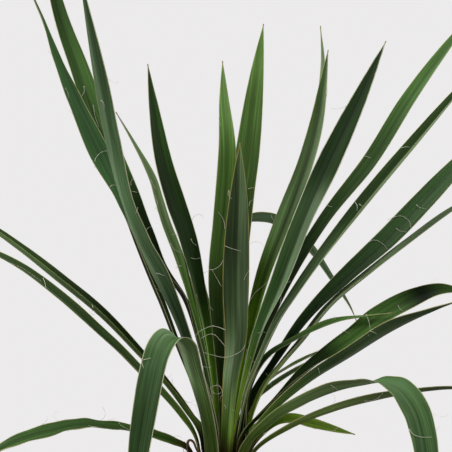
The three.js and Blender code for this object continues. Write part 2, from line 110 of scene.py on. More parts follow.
leaf(14, 26, 4, 180, [(-16, 12, -1), (-29, 65, -1, -5), (-42.5, 100, -1, -10), (-59.5, 145, -1, -10),
    (-70, 170, -2, -10), (-86, 210, -2, -8), (-101, 250, -1, -25), (-125, 300, 0, -50), (-148, 350, 2, -36),
    (-165, 390, 3, -24), (-179, 430, 4, -10), (-187.5, 450, 5, -12), (-194, 468, 5, -12)])
leaf(15, 28, 5, 340, [(19.5, 12, -6), (51, 47.6, -1, 15), (86, 82, 6, 29), (128, 111.5, 14, 43),
    (158, 134.3, 20, 55), (193, 153, 28, 67), (218, 161, 34, 65), (248, 158.5, 40, 53)])
leaf(16, 26, 5, 16, [(18.5, 12, 5.5, 8), (25.5, 60, 10, 16), (38.5, 105, 22, 22), (67.5, 170, 40, 22),
    (103.5, 230, 58, 17), (149.5, 290, 82, 22), (186.5, 350, 102, 26), (222.3, 400, 120, 26),
    (263, 450, 142, 28)])
leaf(17, 22, 5, 90, [(0, 12, 20), (1, 60, 38), (4, 130, 106), (12, 185, 184), (14, 212, 240),
    (14, 216, 280)])
leaf(18, 25, 5, 172, [(-21.5, 16, 1, -22), (-38.5, 43.5, 4, -28), (-57.5, 68.5, 6, -18), (-82, 95.8, 8, -16),
    (-122, 137.5, 12, -15), (-162, 170.8, 16, -13), (-202, 202, 19, -11), (-240, 227.5, 22, -12),
    (-290, 247, 26, -12)])
leaf(19, 28, 5, 240, [(-12, 10, -18), (-17.5, 40, -28, 5), (-23.5, 62, -37, 8), (-29.5, 82, -47, 8),
    (-34, 99, -61, 2), (-39.5, 110, -84, -13), (-50, 114.8, -110, -18), (-60, 105.5, -138, -10),
    (-67, 87, -154), (-72, 64, -162), (-76.5, 38, -168), (-81, 10, -172), (-85, -20, -176), (-90, -62, -180),
    (-93, -105, -182)], neck=17)
leaf(20, 15, 6, 18, [(23, 12, 8.5), (27.5, 60, 19, -10), (44.5, 92.5, 21, 6), (72, 110.5, 24, 4),
    (108, 127.8, 26, 16), (148, 134.5, 15, 2), (170, 137, 8, -5)])
leaf(21, 29, 6, 47, [(16, 14, 17.5), (29, 50, 29, 20), (54.5, 90, 45), (82.5, 130, 63, 4),
    (121, 170, 88, 12), (164.5, 210, 116, 17), (203, 250, 144, 17), (241, 290, 170, 14), (300, 345, 210)])
leaf(22, 12.5, 6, 76, [(6, 12, 22.5), (12, 70, 46), (10, 130, 80), (9.5, 190, 112), (14, 218, 128, -30),
    (22, 229.5, 137, -50), (32, 232.6, 145, -64), (42, 232.8, 153, -62), (52, 231, 162, -56),
    (68, 222.5, 176, -53), (89.5, 202, 192, -56), (109.5, 173, 208, -60), (128, 144, 222, -60),
    (135, 128, 228, -60)])
leaf(23, 14, 6, 132, [(-16, 14, 22, 20), (-37, 44, 44, 44), (-59.5, 71.5, 70, 44), (-82, 98, 96, 40),
    (-102, 119, 118, 30), (-118, 136, 136, 20)])
leaf(24, 24, 6, 186, [(-26, 11.5, -4, -16), (-39.5, 33, -6, -38), (-59, 56, -8, -32), (-83, 80, -10, -22),
    (-102, 99.5, -12, -20), (-122, 117.8, -14, -20), (-142, 136.5, -16, -20), (-162, 153.8, -18, -19),
    (-202, 183.5, -20, -18), (-240, 202.5, -23, -18), (-276, 214, -26, -18)])
leaf(25, 26, 6, 315, [(25, 4, -19, -2), (45, 25.5, -31, -16), (63, 39, -42, -23), (108, 60, -67, -23),
    (142, 67.5, -87, -8), (160, 69.5, -98, 7), (178, 62, -112, 25), (194, 40, -124, 48),
    (200.5, 20, -130, 57), (204.5, -2, -134, 57), (207, -60, -138, 57), (206, -105, -138, 57)], neck=15.5)
leaf(26, 24, 7, 28, [(24.5, 14, 13.5), (40, 60, 22, -12), (60, 87, 33, -18), (80.5, 111, 48, -16),
    (108, 145, 62, -14), (148, 178.5, 82, -8), (188, 209.5, 102, -5), (230, 240.5, 122),
    (276, 267, 146, -6)])
leaf(27, 13, 7, 62, [(13, 12, 25), (28, 43, 46, -12), (38, 60, 58, -24), (50, 72.8, 70, -30),
    (63, 81.2, 82, -26), (79, 89.8, 94, -12), (89, 94.6, 103, -6), (100, 99, 112, -4), (114, 103, 121, -4)])
leaf(28, 24, 7, 98, [(-2, 10, 26), (-4, 60, 70), (-5, 98, 120), (-5, 116, 175), (-5, 108, 230),
    (-6, 84, 280), (-6, 50, 315)])
leaf(29, 20, 7, 182, [(-34, 0.5, -2, -26), (-48, 8, -3, -44), (-66, 14.5, -4, -40), (-93, 21.5, -6, -20),
    (-112, 23.5, -8, -16), (-140, 26, -10, -22), (-172, 19.5, -13, -36), (-207, 9, -16, -45),
    (-245, -10, -20, -34)])
leaf(30, 22, 7, 352, [(25, 6, -5, -10), (48, 37, -12, -34), (88, 71.5, -21, -33), (128, 97.5, -30, -31),
    (168, 123, -36, -38), (208, 139, -42, -26), (241, 151, -47, -9)])
leaf(31, 12, 8, 36, [(25.5, 12, 20.5), (28.5, 44, 36), (46, 61.5, 48.5), (71, 78.5, 66), (100, 93, 84),
    (118, 101, 96)])
leaf(32, 14, 8, 4, [(28.5, 0, 3), (52, 25.5, 10, 22), (68, 31.5, 12, 38), (90, 26.8, 16, 45),
    (112, 21, 20, 45), (133, 15.5, 24, 45)])
leaf(33, 19, 8, 338, [(32, -2, -10, -5), (68, 23, -14, -20), (108, 39.5, -18, -27), (148, 51, -22, -26),
    (199, 59.5, -26, -16), (230, 62, -29, -16), (254, 60.5, -31, -14), (278, 57, -34, -10)])
leaf(34, 20, 8, 74, [(10, 6, 30), (40, 25.5, 62), (68, 41.5, 104), (92, 54.5, 150), (112, 61, 190),
    (124, 64, 214)])
low(35, 24, 7, 228, 205, 9)
low(36, 25, 7, 272, 225, 12)
low(37, 23, 7, 312, 200, 8)
low(38, 24, 8, 206, 230, 4)
low(39, 25, 8, 250, 190, 5)
low(40, 24, 8, 293, 215, 7)
low(41, 22, 8, 150, 220, 0)
low(42, 20, 8, 114, 200, 0)


# Routes

def smooth(value):
    value = min(1, max(0, value))
    return value * value * (3 - 2 * value)


def mix(a, b, share):
    return a + (b - a) * share


def seen_at(across, up, back):
    """The point that the camera sees at across and up, at that depth behind the crown."""
    spread = (VIEW_DISTANCE + back) / VIEW_DISTANCE
    height = CROWN + VIEW_UP + (up - VIEW_UP) * spread
    return Vector((VIEW_ACROSS + (across - VIEW_ACROSS) * spread, back, height))


def around(turn, radius, height):
    """The point at a radius and height, at a turn about the pot's axis that is 0 at the right."""
    return Vector((radius * math.cos(turn), radius * math.sin(turn), height))


def turns(count):
    """That many turns, evenly spaced all round."""
    return [math.tau * i / count for i in range(count)]


def ring_radius(ring):
    return FIRST_RING + RING_STEP * ring


def route_points(row):
    heading = math.radians(row["turn"])
    ahead = around(heading, 1, 0)
    points = [ahead * ring_radius(row["ring"]) + UP * height for height in (FOOT, STRAIGHT_TO)]
    if "route" in row:
        return points + [seen_at(*stop[:3]) for stop in row["route"]]
    for share, up in LOW_ARCH:
        height = CROWN + up + row["lift"] * math.sin(math.pi * share)
        points.append(ahead * (LOW_START + row["reach"] * share) + UP * height)
    return points


class Curve:
    """A centripetal spline through points, walked by its length."""

    def __init__(self, points, divisions):
        self.points = points
        self.marks = [0]
        last = self.at(0)
        for i in range(1, divisions + 1):
            here = self.at(i / divisions)
            self.marks.append(self.marks[-1] + (here - last).length)
            last = here
        self.length = self.marks[-1]

    def at(self, t):
        points = self.points
        place = (len(points) - 1) * t
        knot = min(int(place), len(points) - 2)
        weight = place - knot
        p1, p2 = points[knot], points[knot + 1]
        p0 = points[knot - 1] if knot > 0 else 2 * p1 - p2
        p3 = points[knot + 2] if knot + 2 < len(points) else 2 * p2 - p1
        d0, d1, d2 = (max(math.sqrt((b - a).length), 1e-4) for a, b in ((p0, p1), (p1, p2), (p2, p3)))
        start = ((p1 - p0) / d0 - (p2 - p0) / (d0 + d1) + (p2 - p1) / d1) * d1
        end = ((p2 - p1) / d1 - (p3 - p1) / (d1 + d2) + (p3 - p2) / d2) * d1
        return (p1 + start * weight + (3 * (p2 - p1) - 2 * start - end) * weight ** 2
                + (2 * (p1 - p2) + start + end) * weight ** 3)

    def tangent(self, t):
        return (self.at(min(1, t + 1e-4)) - self.at(max(0, t - 1e-4))).normalized()

    def by_length(self, share):
        """The spline's own parameter at a share of its length."""
        target = share * self.length
        low_mark, high_mark = 0, len(self.marks) - 1
        while high_mark - low_mark > 1:
            middle = (low_mark + high_mark) // 2
            if self.marks[middle] <= target:
                low_mark = middle
            else:
                high_mark = middle
        span = self.marks[high_mark] - self.marks[low_mark]
        return (low_mark + (target - self.marks[low_mark]) / span) / (len(self.marks) - 1)


# Blades

# The places of a section's points, in shares of half the width
ACROSS = [-1, -0.96, -0.86, -0.7, -0.52, -0.34, -0.17, -0.06, 0, 0.06, 0.17, 0.34, 0.52, 0.7, 0.86, 0.96, 1]
SECTION_SPACING, FEWEST_SECTIONS = 4, 40
KEEL_HALF_THICK, MARGIN_HALF_THICK = 0.6, 0.22
RIPPLE_LENGTH = 17
NECK_PER_RADIUS, NECK_PER_WIDTH = 2.1, 0.62


def blade_width(share, row):
    width = row["width"]
    fitting = min(NECK_WIDTH, NECK_PER_RADIUS * ring_radius(row["ring"]), NECK_PER_WIDTH * width)
    neck = row["neck"] or fitting
    if share < WIDEST:
        return mix(neck, width, smooth((share - NECK_END) / (WIDEST - NECK_END)))
    to_tip = (share - WIDEST) / (1 - WIDEST)
    return max(TIP_WIDTH, width * (1 - to_tip ** 2.2))


def fold_angle(share, width, ring):
    at_foot = width / (4 * ring_radius(ring))
    blade = math.radians(mix(FOLD_DEEP, FOLD_FLAT, smooth((share - 0.3) / 0.35)))
    return mix(at_foot, blade, smooth((share - 0.06) / 0.16))


class Blade:
    """One leaf as a surface: where it is at a share of its length, and its cross-section there."""

    def __init__(self, number):
        self.row = LEAVES[number]
        self.curve = Curve(route_points(self.row), 200)
        stops = self.row.get("route")
        self.twists = [0, 0] + ([stop[3] for stop in stops] if stops else [0] * len(LOW_ARCH))
        self.look = LOOKS.get(number, {})
        self.seed = number * 7.31

    def station(self, share):
        at = self.curve.by_length(share)
        along = self.curve.tangent(at)
        last = len(self.twists) - 1
        knot = min(int(at * last), last - 1)
        twist = math.radians(mix(self.twists[knot], self.twists[knot + 1], smooth(at * last - knot)))
        heading = math.radians(self.row["turn"])
        side = Vector((-math.sin(heading), math.cos(heading), 0))
        side = Quaternion(along, twist) @ (side - along * side.dot(along)).normalized()
        width = blade_width(share, self.row)
        fold = fold_angle(share, width, self.row["ring"])
        return self.curve.at(at), side, along.cross(side).normalized(), width, fold

    def section(self, share):
        """The points of one cross-section with their across, margin distance and face, upper face first."""
        place, side, upper, width, fold = self.station(share)
        reach, rise = width / 2 * math.cos(fold), width / 4 * math.sin(fold)
        wave = self.look.get("wave", 0) * smooth(share / 0.3) * smooth((1 - share) / 0.1)
        far = self.curve.length * share
        points = []
        for face, order in ((1, ACROSS), (0, ACROSS[::-1])):
            for s in order:
                away = abs(s)
                ripple = wave * away ** 3 * noise.noise(Vector((far / RIPPLE_LENGTH, s * 2, self.seed)))
                lift = rise * (2 * away ** 1.3 - 1) + ripple
                thick = mix(KEEL_HALF_THICK, MARGIN_HALF_THICK, away ** 1.5)
                lift += thick if face else -thick
                point = place + side * reach * s + upper * lift
                points.append((point, s * width / 2, (1 - away) * width / 2, face))
        return points


def new_object(name, data):
    made = bpy.data.objects.new(name, data)
    bpy.context.scene.collection.objects.link(made)
    return made


def mesh_object(name, points, faces, material):
    mesh = bpy.data.meshes.new(name)
    mesh.from_pydata([point * MM for point in points], [], faces)
    mesh.validate()
    mesh.shade_smooth()
    mesh.materials.append(material)
    return new_object(name, mesh)


def rings_to_faces(count, per_ring, first=0, caps=True):
    """Quads between count rings of per_ring points each, with a cap on either end or open."""
    faces = []
    for i in range(count - 1):
        for j in range(per_ring):
            k = (j + 1) % per_ring
            a, b = first + i * per_ring, first + (i + 1) * per_ring
            faces.append((a + j, b + j, b + k, a + k))
    if caps:
        faces.append(tuple(range(first, first + per_ring)))
        last = first + (count - 1) * per_ring
        faces.append(tuple(range(last + per_ring - 1, last - 1, -1)))
    return faces


def attribute(made, name, kind, values):
    layer = made.data.attributes.new(name, kind, "POINT")
    if kind == "FLOAT":
        layer.data.foreach_set("value", values)
    else:
        layer.data.foreach_set("vector", [part for value in values for part in value])


def leaf_piece(name, blade):
    count = max(FEWEST_SECTIONS, int(blade.curve.length / SECTION_SPACING))
    points, blades, tips, uppers = [], [], [], []
    for i in range(count + 1):
        share = 1 - (1 - i / count) ** 1.05
        for point, across, margin, face in blade.section(share):
            points.append(point)
            blades.append((across, blade.curve.length * share, margin))
            tips.append(blade.curve.length * (1 - share))
            uppers.append(float(face))
    faces = rings_to_faces(count + 1, 2 * len(ACROSS))
    made = mesh_object("blade_" + name[-2:], points, faces, leaf_material(name, blade))
    attribute(made, "blade", "FLOAT_VECTOR", blades)
    attribute(made, "to_tip", "FLOAT", tips)
    attribute(made, "upper_face", "FLOAT", uppers)
    made.data.set_sharp_from_angle(angle=math.radians(55))
    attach(made, "root")
    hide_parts(name)


# Materials

def tone(code):
    """A colour from its six hex digits, in Blender's linear values."""
    parts = [int(code[i:i + 2], 16) / 255 for i in (0, 2, 4)]
    return tuple(p / 12.92 if p <= 0.04045 else ((p + 0.055) / 1.055) ** 2.4 for p in parts) + (1,)


class Nodes:
    """A node tree, built a node at a time."""

    def __init__(self, tree):
        self.tree = tree

    def feed(self, socket, value):
        """Gives a socket its value: a number, a colour or its hex digits, or another node's output."""
        if isinstance(value, bpy.types.NodeSocket):
            self.tree.links.new(value, socket)
        else:
            socket.default_value = tone(value) if isinstance(value, str) else value

    def node(self, kind, inputs=None, **settings):
        made = self.tree.nodes.new("ShaderNode" + kind)
        for key, value in settings.items():
            setattr(made, key, value)
        for key, value in (inputs or {}).items():
            self.feed(made.inputs[key], value)
        return made

    def math(self, operation, a, b=0):
        return self.node("Math", {0: a, 1: b}, operation=operation).outputs[0]

    def plus(self, a, b):
        return self.math("ADD", a, b)

    def times(self, a, b):
        return self.math("MULTIPLY", a, b)

    def parts(self, vector):
        return self.node("SeparateXYZ", {0: vector}).outputs

    def joined(self, x, y, z):
        return self.node("CombineXYZ", {0: x, 1: y, 2: z}).outputs[0]

    def stretched(self, vector, scale):
        return self.node("Mapping", {"Vector": vector, "Scale": scale}).outputs[0]

    def ramp(self, value, low_value, high_value, start=0, end=1):
        """value from low_value to high_value, eased to run from start to end."""
        return self.node("MapRange", {0: value, 1: low_value, 2: high_value, 3: start, 4: end},
                         interpolation_type="SMOOTHSTEP").outputs[0]

    def spread(self, noise, start=0, end=1):
        """The usual range of a noise, eased to run from start to end."""
        return self.ramp(noise, 0.3, 0.7, start, end)

    def stops(self, value, pairs):
        """A number that eases from one pair of (place, number) to the next, as value passes their places."""
        result = pairs[0][1]
        for (start, before), (end, after) in zip(pairs, pairs[1:]):
            if after != before:
                result = self.plus(self.ramp(value, start, end, 0, after - before), result)
        return result

    def blend(self, share, a, b, how="MIX"):
        return self.node("Mix", data_type="RGBA", blend_type=how, inputs={0: share, 6: a, 7: b}).outputs[2]

    def scaled(self, color, value):
        """color times a number."""
        grey = self.node("CombineColor", {0: value, 1: value, 2: value}).outputs[0]
        return self.blend(1, color, grey, "MULTIPLY")

    def noise(self, vector, scale, detail=2, roughness=0.5):
        inputs = {"Vector": vector, "Scale": scale, "Detail": detail, "Roughness": roughness}
        return self.node("TexNoise", inputs).outputs[0]

    def attribute(self, name, output="Fac"):
        return self.node("Attribute", attribute_name=name).outputs[output]

    def place(self):
        return self.node("TexCoord").outputs["Object"]


class Shader(Nodes):
    """A new material's node tree, round its one surface."""

    def __init__(self, name):
        self.material = bpy.data.materials.new(name)
        self.material.use_nodes = True
        super().__init__(self.material.node_tree)
        self.surface = self.tree.nodes["Principled BSDF"]

    def bump(self, height, distance, strength=1):
        bump = self.node("Bump", {"Height": height, "Distance": distance, "Strength": strength})
        self.feed(self.surface.inputs["Normal"], bump.outputs[0])

    def finish(self, color, roughness, shine=0.5):
        for key, value in (("Base Color", color), ("Roughness", roughness), ("Specular IOR Level", shine)):
            self.feed(self.surface.inputs[key], value)
        return self.material


# The grains of a blade, by how fast they change in a mm across it and along it
FINE, STREAK, BROAD, RAGGED = (1.35, 0.012), (0.62, 0.006), (0.22, 0.011), (0.3, 0.05)
FINE_DEPTH, BROAD_DEPTH = 0.27, 0.14
# The first colour is the grey-green of a painted sheen, the glancing light on the waxy leaf; then the browns
# of a dead foot and a dry tip
BLOOM, BASE_BROWN, TIP_BROWN = "8E9C84", "3A2613", "9A8458"


def leaf_material(name, blade):
    look = {**PLAIN, **blade.look}
    s = Shader("leaf_" + name[-2:])
    across, along, margin = s.parts(s.attribute("blade", "Vector"))
    upper, to_tip = s.attribute("upper_face"), s.attribute("to_tip")
    own = s.plus(s.times(upper, 9), blade.seed)

    def grain(pace, detail=2):
        place = s.joined(s.times(across, pace[0]), s.times(along, pace[1]), own)
        return s.noise(place, 1, detail, 0.6)

    def by_half(rows):
        """A number that differs between the blade's two sides, each eased along the leaf, for the painted
        shading or the painted sheen of either side.
        """
        minus = s.stops(along, [(place, number) for place, number, _ in rows])
        plus = s.stops(along, [(place, number) for place, _, number in rows])
        return s.plus(s.times(s.math("SUBTRACT", plus, minus), half), minus)

    fine, streak, broad, ragged = grain(FINE, 3), grain(STREAK), grain(BROAD), grain(RAGGED)
    beyond = s.math("SUBTRACT", across, look["split"])
    # Where the blade's two sides part: for the painted shading and painted sheen of either side, and for the
    # pale margin line along it
    half = s.ramp(beyond, -look["soft"], look["soft"])
    color = s.blend(upper, look["under"], look["upper"])
    # A grey-green painted sheen on either side, eased along the leaf, where light glances off the waxy bloom
    color = s.blend(by_half(look["bloom"]), color, BLOOM)
    foot = s.ramp(along, look["foot_start"], look["foot_end"], look["foot_share"], 0)
    color = s.blend(foot, color, look["foot"])

    # Painted shade in the crease along the middle of the upper face, where the fold shades itself
    channel = s.ramp(s.math("ABSOLUTE", across), 0.2, 4.5, look["channel"] - 1, 0)
    # Painted light and shade by side: one half of the fold darker, the other lighter, as the lamps fall on
    # them
    shade = s.times(by_half(look["halves"]), s.plus(s.times(channel, upper), 1))
    # Painted light and shade along the leaf and over all of it, lighter or darker by length to copy how the
    # light falls on it among the other leaves; the grains that follow are the blade's own
    shade = s.times(shade, s.times(s.stops(along, look["tones"]), look["level"]))
    for grained, depth in ((fine, FINE_DEPTH), (streak, look["streak"]), (broad, BROAD_DEPTH)):
        shade = s.times(shade, s.spread(grained, 1 - depth, 1 + depth))
    color = s.scaled(color, shade)

    worn = s.ramp(ragged, 0.3, 0.6, 0.45, 1)
    line = s.ramp(s.math("ABSOLUTE", beyond), 0.2, 0.8, look["line"], 0)
    color = s.blend(s.times(line, worn), color, look["line_color"])
    edge = s.ramp(margin, look["margin_width"], look["margin_width"] + 0.35, look["margin_share"], 0)
    color = s.blend(s.times(edge, worn), color, look["margin"])
    base = s.ramp(s.plus(along, s.times(streak, 20)), look["bare"], look["bare"] + 30, 0.85, 0)
    color = s.blend(base, color, BASE_BROWN)
    spine = s.ramp(s.plus(to_tip, s.times(fine, 3)), 3, look["brown"], 0.95, 0)
    color = s.blend(spine, color, TIP_BROWN)
    s.bump(fine, 0.00016, 0.7)
    return s.finish(color, s.spread(fine, look["rough"] - 0.05, look["rough"] + 0.07), look["shine"])


# How a plain leaf looks, in mm from its foot: the colours of its faces, its painted light and shade in all
# and at some lengths, the painted shading and painted sheen of its two sides (length, minus side, plus side),
# where they part and the line there, the painted shade in its crease and its streaks, the green of its foot,
# its margin, how far it is brown at its foot and at its tip, and its gloss
PLAIN = dict(
    upper="35501F", under="435633", level=1.12, tones=[(60, 1)], halves=[(60, 1, 1)], bloom=[(60, 0, 0)],
    split=0, soft=3, line=0, line_color="A9A862", channel=0.76, streak=0.18,
    foot="4E6A16", foot_start=40, foot_end=170, foot_share=0.7,
    margin="BDB984", margin_width=0.34, margin_share=0.95, bare=52, brown=6, rough=0.44, shine=0.055)
LOOKS = {}


def look(number, **own):
    """Notes how a leaf differs from the plain one."""
    LOOKS[number] = own


look(1, level=1, upper="5C8038", bloom=[(330, 0, 0), (400, 0.14, 0.08)], foot="56781A",
    tones=[(60, 1.3), (85, 0.4), (125, 0.16), (190, 0.25), (265, 0.6), (335, 0.85), (400, 1.8)])
look(2, under="4A6139", soft=1.2, margin="B8A962", margin_width=0.45, foot="5E7E1E", foot_end=145,
    foot_share=0.75, halves=[(62, 0.55, 1.5), (82, 0.85, 1.3), (101, 1.15, 1.05), (122, 1.25, 0.75),
    (155, 1.35, 0.6), (205, 0.75, 1), (315, 0.6, 1.2)],
    bloom=[(62, 0, 0.15), (100, 0.1, 0.15), (130, 0.3, 0.05), (180, 0.05, 0.15)],
    tones=[(60, 1.5), (125, 1.35), (195, 1.05), (255, 0.65), (315, 1.05), (345, 1.3)])
look(3, level=1, upper="5A7A3C", tones=[(60, 0.35), (250, 0.45), (340, 0.72), (400, 1), (450, 1.4)])
look(4, upper="3A5A26", foot="65841C", foot_end=230, margin="C6C59A", soft=2,
    halves=[(60, 0.8, 1.3), (170, 0.75, 1.3), (240, 1.15, 0.9), (315, 1.3, 0.65)],
    bloom=[(60, 0, 0), (200, 0, 0.08)],
    tones=[(60, 2.6), (150, 2.4), (205, 0.5), (260, 0.3), (310, 0.28), (400, 0.6)])
look(5, upper="3B5A2C", margin="D6D6B6", margin_width=0.6, foot="7E9A20", foot_end=180, foot_share=0.88,
    halves=[(60, 1.1, 1.5), (130, 1.1, 1.3), (185, 1.2, 0.8), (230, 1.4, 0.75), (310, 1.25, 0.85),
    (360, 1.1, 0.95)],
    bloom=[(60, 0, 0), (145, 0.1, 0), (180, 0.4, 0), (200, 0.3, 0), (310, 0.35, 0), (350, 0, 0)],
    tones=[(105, 2), (145, 1.25), (172, 1.6), (235, 1), (300, 0.75), (350, 0.36), (430, 0.34)])
look(7, level=0.9, upper="667C50", foot="4E7C1E", foot_start=170, foot_end=300, foot_share=0.85,
    tones=[(60, 0.4), (150, 0.5), (195, 0.88), (260, 0.85), (320, 1.2)], margin="C6C6A2")
look(8, level=1, upper="4E6C32", foot="5F8A12", foot_start=165, foot_end=290, foot_share=0.92,
    margin="C4C296", channel=0.5,
    halves=[(60, 1.2, 1.2), (215, 1, 0.9), (277, 0.7, 1.4), (347, 1.1, 0.8), (413, 1.15, 0.85)],
    bloom=[(60, 0, 0), (200, 0.1, 0), (277, 0.15, 0.12), (347, 0.3, 0.1), (413, 0.3, 0)], tones=[(60, 2.1),
    (115, 1.9), (160, 0.85), (225, 0.54), (275, 0.95), (330, 0.85), (410, 0.88), (460, 1.3)])
look(9, level=1.02, upper="456430", halves=[(60, 1.3, 0.7)],
    tones=[(290, 0.22), (380, 0.9), (450, 1.1), (520, 0.72)])
look(10, level=1.25, under="46603C", halves=[(60, 1.15, 0.8), (370, 1.15, 0.9), (430, 1.1, 0.7)],
    margin="C4C29A", bloom=[(60, 0.05, 0), (190, 0.1, 0), (250, 0.25, 0.05), (380, 0.2, 0.05)],
    tones=[(60, 0.45), (130, 0.42), (195, 0.5), (255, 1.15), (320, 1.5), (372, 1.05), (450, 0.85)])
look(11, level=1.35, upper="3C5A26", halves=[(60, 1.6, 1), (200, 2.2, 0.85)],
    bloom=[(60, 0.4, 0.25), (260, 0.4, 0.15), (320, 0.3, 0)], split=-4.6, soft=0.8, line=0.38,
    line_color="C9C8A2", channel=0.9, foot_share=0.4, tones=[(60, 1), (250, 0.62), (320, 0.3), (374, 0.36)])
look(12, upper="4A6C2E", under="5A7444", margin="B5B072", tones=[(60, 1), (350, 1.1), (420, 1.6)],
    bloom=[(350, 0, 0), (420, 0.35, 0.35)])
look(14, level=1.05, upper="3A5A32", tones=[(240, 0.3), (335, 1.05), (400, 1)], channel=0.9, streak=0.26)
look(15, level=1, upper="44632C",
    tones=[(60, 0.3), (175, 0.22), (215, 1.4), (260, 1), (298, 0.08), (330, 0.7)])
look(16, upper="44652E", tones=[(60, 0.27), (250, 0.3), (312, 0.4), (395, 0.48), (495, 1)],
    bloom=[(60, 0, 0), (300, 0.08, 0)])
look(18, level=1.1, upper="44622B", halves=[(60, 0.6, 1.3)], split=-3.5, soft=0.7, line=0.6,
    tones=[(60, 0.9), (130, 0.6), (210, 0.4), (255, 0.42), (310, 0.66)], bloom=[(60, 0, 0.12)], channel=0.95)
look(19, bare=36, level=1.25, upper="3A592B", under="4C6438", foot_share=0.5, streak=0.25, channel=0.88,
    halves=[(60, 0.8, 1.2), (100, 0.6, 1.2), (140, 1.15, 0.8), (210, 1.2, 0.72), (260, 1, 1)],
    bloom=[(60, 0.08, 0), (150, 0.28, 0.1), (205, 0.25, 0), (260, 0.05, 0.08)],
    tones=[(60, 0.8), (95, 0.95), (130, 1.5), (150, 1.4), (215, 0.95), (280, 0.72), (330, 0.52)],
    margin="C8C6A0", margin_width=0.5)
look(20, upper="46672C", tones=[(60, 0.3), (150, 0.7), (200, 1.7)])
look(21, upper="3A5A2C", tones=[(60, 0.16), (150, 0.2), (200, 0.36), (270, 0.42), (350, 0.66)], channel=0.86,
    bloom=[(60, 0, 0), (300, 0.1, 0)], streak=0.24)
look(22, level=1, upper="4E6845", under="4E6845", bloom=[(60, 0.1, 0.1)])
look(24, bare=42, level=1.08, upper="3F562C", halves=[(60, 0.85, 1.2)],
    tones=[(60, 1.7), (110, 1.25), (182, 0.8)], margin_width=0.6, margin="A8A860")
look(25, bare=38, upper="466438", channel=0.88, foot_share=0.5, under="4C6038",
    tones=[(60, 1.8), (120, 1.6), (190, 1), (235, 0.9), (290, 1), (350, 0.7)],
    bloom=[(60, 0, 0), (230, 0.08, 0.03)])
look(26, upper="5A6C4A", under="5A6C4A", foot="7C9820", foot_end=190, foot_share=0.95, margin_width=0.2,
    halves=[(60, 1, 1), (150, 1.1, 0.9), (210, 1.2, 0.9)],
    tones=[(60, 2.1), (110, 1.5), (160, 1.1), (240, 1.7), (300, 1.8), (360, 1)])
look(29, upper="3F5C2C", tones=[(60, 1), (100, 0.9), (140, 0.72), (200, 0.95)], foot_share=0.35, wave=2.2,
    margin_width=0.5, margin="B4B27A")
look(30, level=1.5, under="384A2D", tones=[(60, 1.5), (140, 1.4), (180, 0.85), (220, 0.95), (280, 0.6)],
    line=0.12)
look(32, level=1.05, upper="5E7822", tones=[(60, 1.4), (160, 1.5)])
look(33, bare=42, level=1.3, under="4C5C33", foot_share=0.45,
    tones=[(60, 1.6), (144, 1.35), (195, 0.68), (240, 0.36)], soft=1, line=0.25,
    halves=[(60, 1, 1), (150, 1.2, 0.8)])


# Threads

TUBE_SIDES, TUBE_TAPER = 5, 0.55
THREAD_LIFT, THREAD_RADIUS = 0.7, 0.25
FEW_THREADS, MANY_THREADS = 2, 9


def add_tube(points, faces, path, radius):
    """Adds a thin round thread along a path, tapering to its free end, to points and faces."""
    faces += rings_to_faces(len(path), TUBE_SIDES, len(points))
    for i, point in enumerate(path):
        before, after = path[max(0, i - 1)], path[min(len(path) - 1, i + 1)]
        along = (after - before).normalized()
        side = along.cross(Vector((0.3, 1, 0.2))).normalized()
        up = along.cross(side)
        thin = radius * (1 - TUBE_TAPER * i / (len(path) - 1))
        for turn in turns(TUBE_SIDES):
            points.append(point + side * thin * math.cos(turn) + up * thin * math.sin(turn))


def straight_from_eye(pixel):
    x, y = pixel
    return Vector((x - MIDDLE, VIEW_DISTANCE, MIDDLE - y)).normalized()


def along_ray(ray, depth):
    """The point where a ray from the eye is at that depth behind the crown."""
    return EYE + ray * ((depth - EYE.y) / ray.y)


def beside(surface, ray):
    """The depth of a leaf where a ray only passes close to it."""
    depth = 0
    for _ in range(4):
        depth = surface.find_nearest(along_ray(ray, depth) * MM)[0].y / MM
    return depth


def thread_on(surface, pixels):
    """A thread that lies on one leaf where the leaf is behind it, and swings free beyond its edge."""
    rays = [straight_from_eye(pixel) for pixel in pixels]
    hits = [surface.ray_cast(EYE * MM, ray)[0] for ray in rays]
    depths = [None if hit is None else hit.y / MM - THREAD_LIFT for hit in hits]
    if not any(hits):
        depths[0] = beside(surface, rays[0])
    known = [i for i, depth in enumerate(depths) if depth is not None]
    stops = []
    for i, ray in enumerate(rays):
        before = max((k for k in known if k <= i), default=known[0])
        after = min((k for k in known if k >= i), default=known[-1])
        share = 0 if before == after else (i - before) / (after - before)
        stops.append(along_ray(ray, mix(depths[before], depths[after], share)))
    return evenly(stops, 2, 6)


def evenly(stops, spacing, fewest):
    """Points of a curve through stops, evenly spaced."""
    curve = Curve(stops, 40)
    count = max(fewest, int(curve.length / spacing))
    return [curve.at(curve.by_length(i / count)) for i in range(count + 1)]


THREADS = {}


def threads(number, *paths):
    """Notes the threads that lie on a leaf or swing from it, each by the picture's points that it passes."""
    THREADS[number] = paths


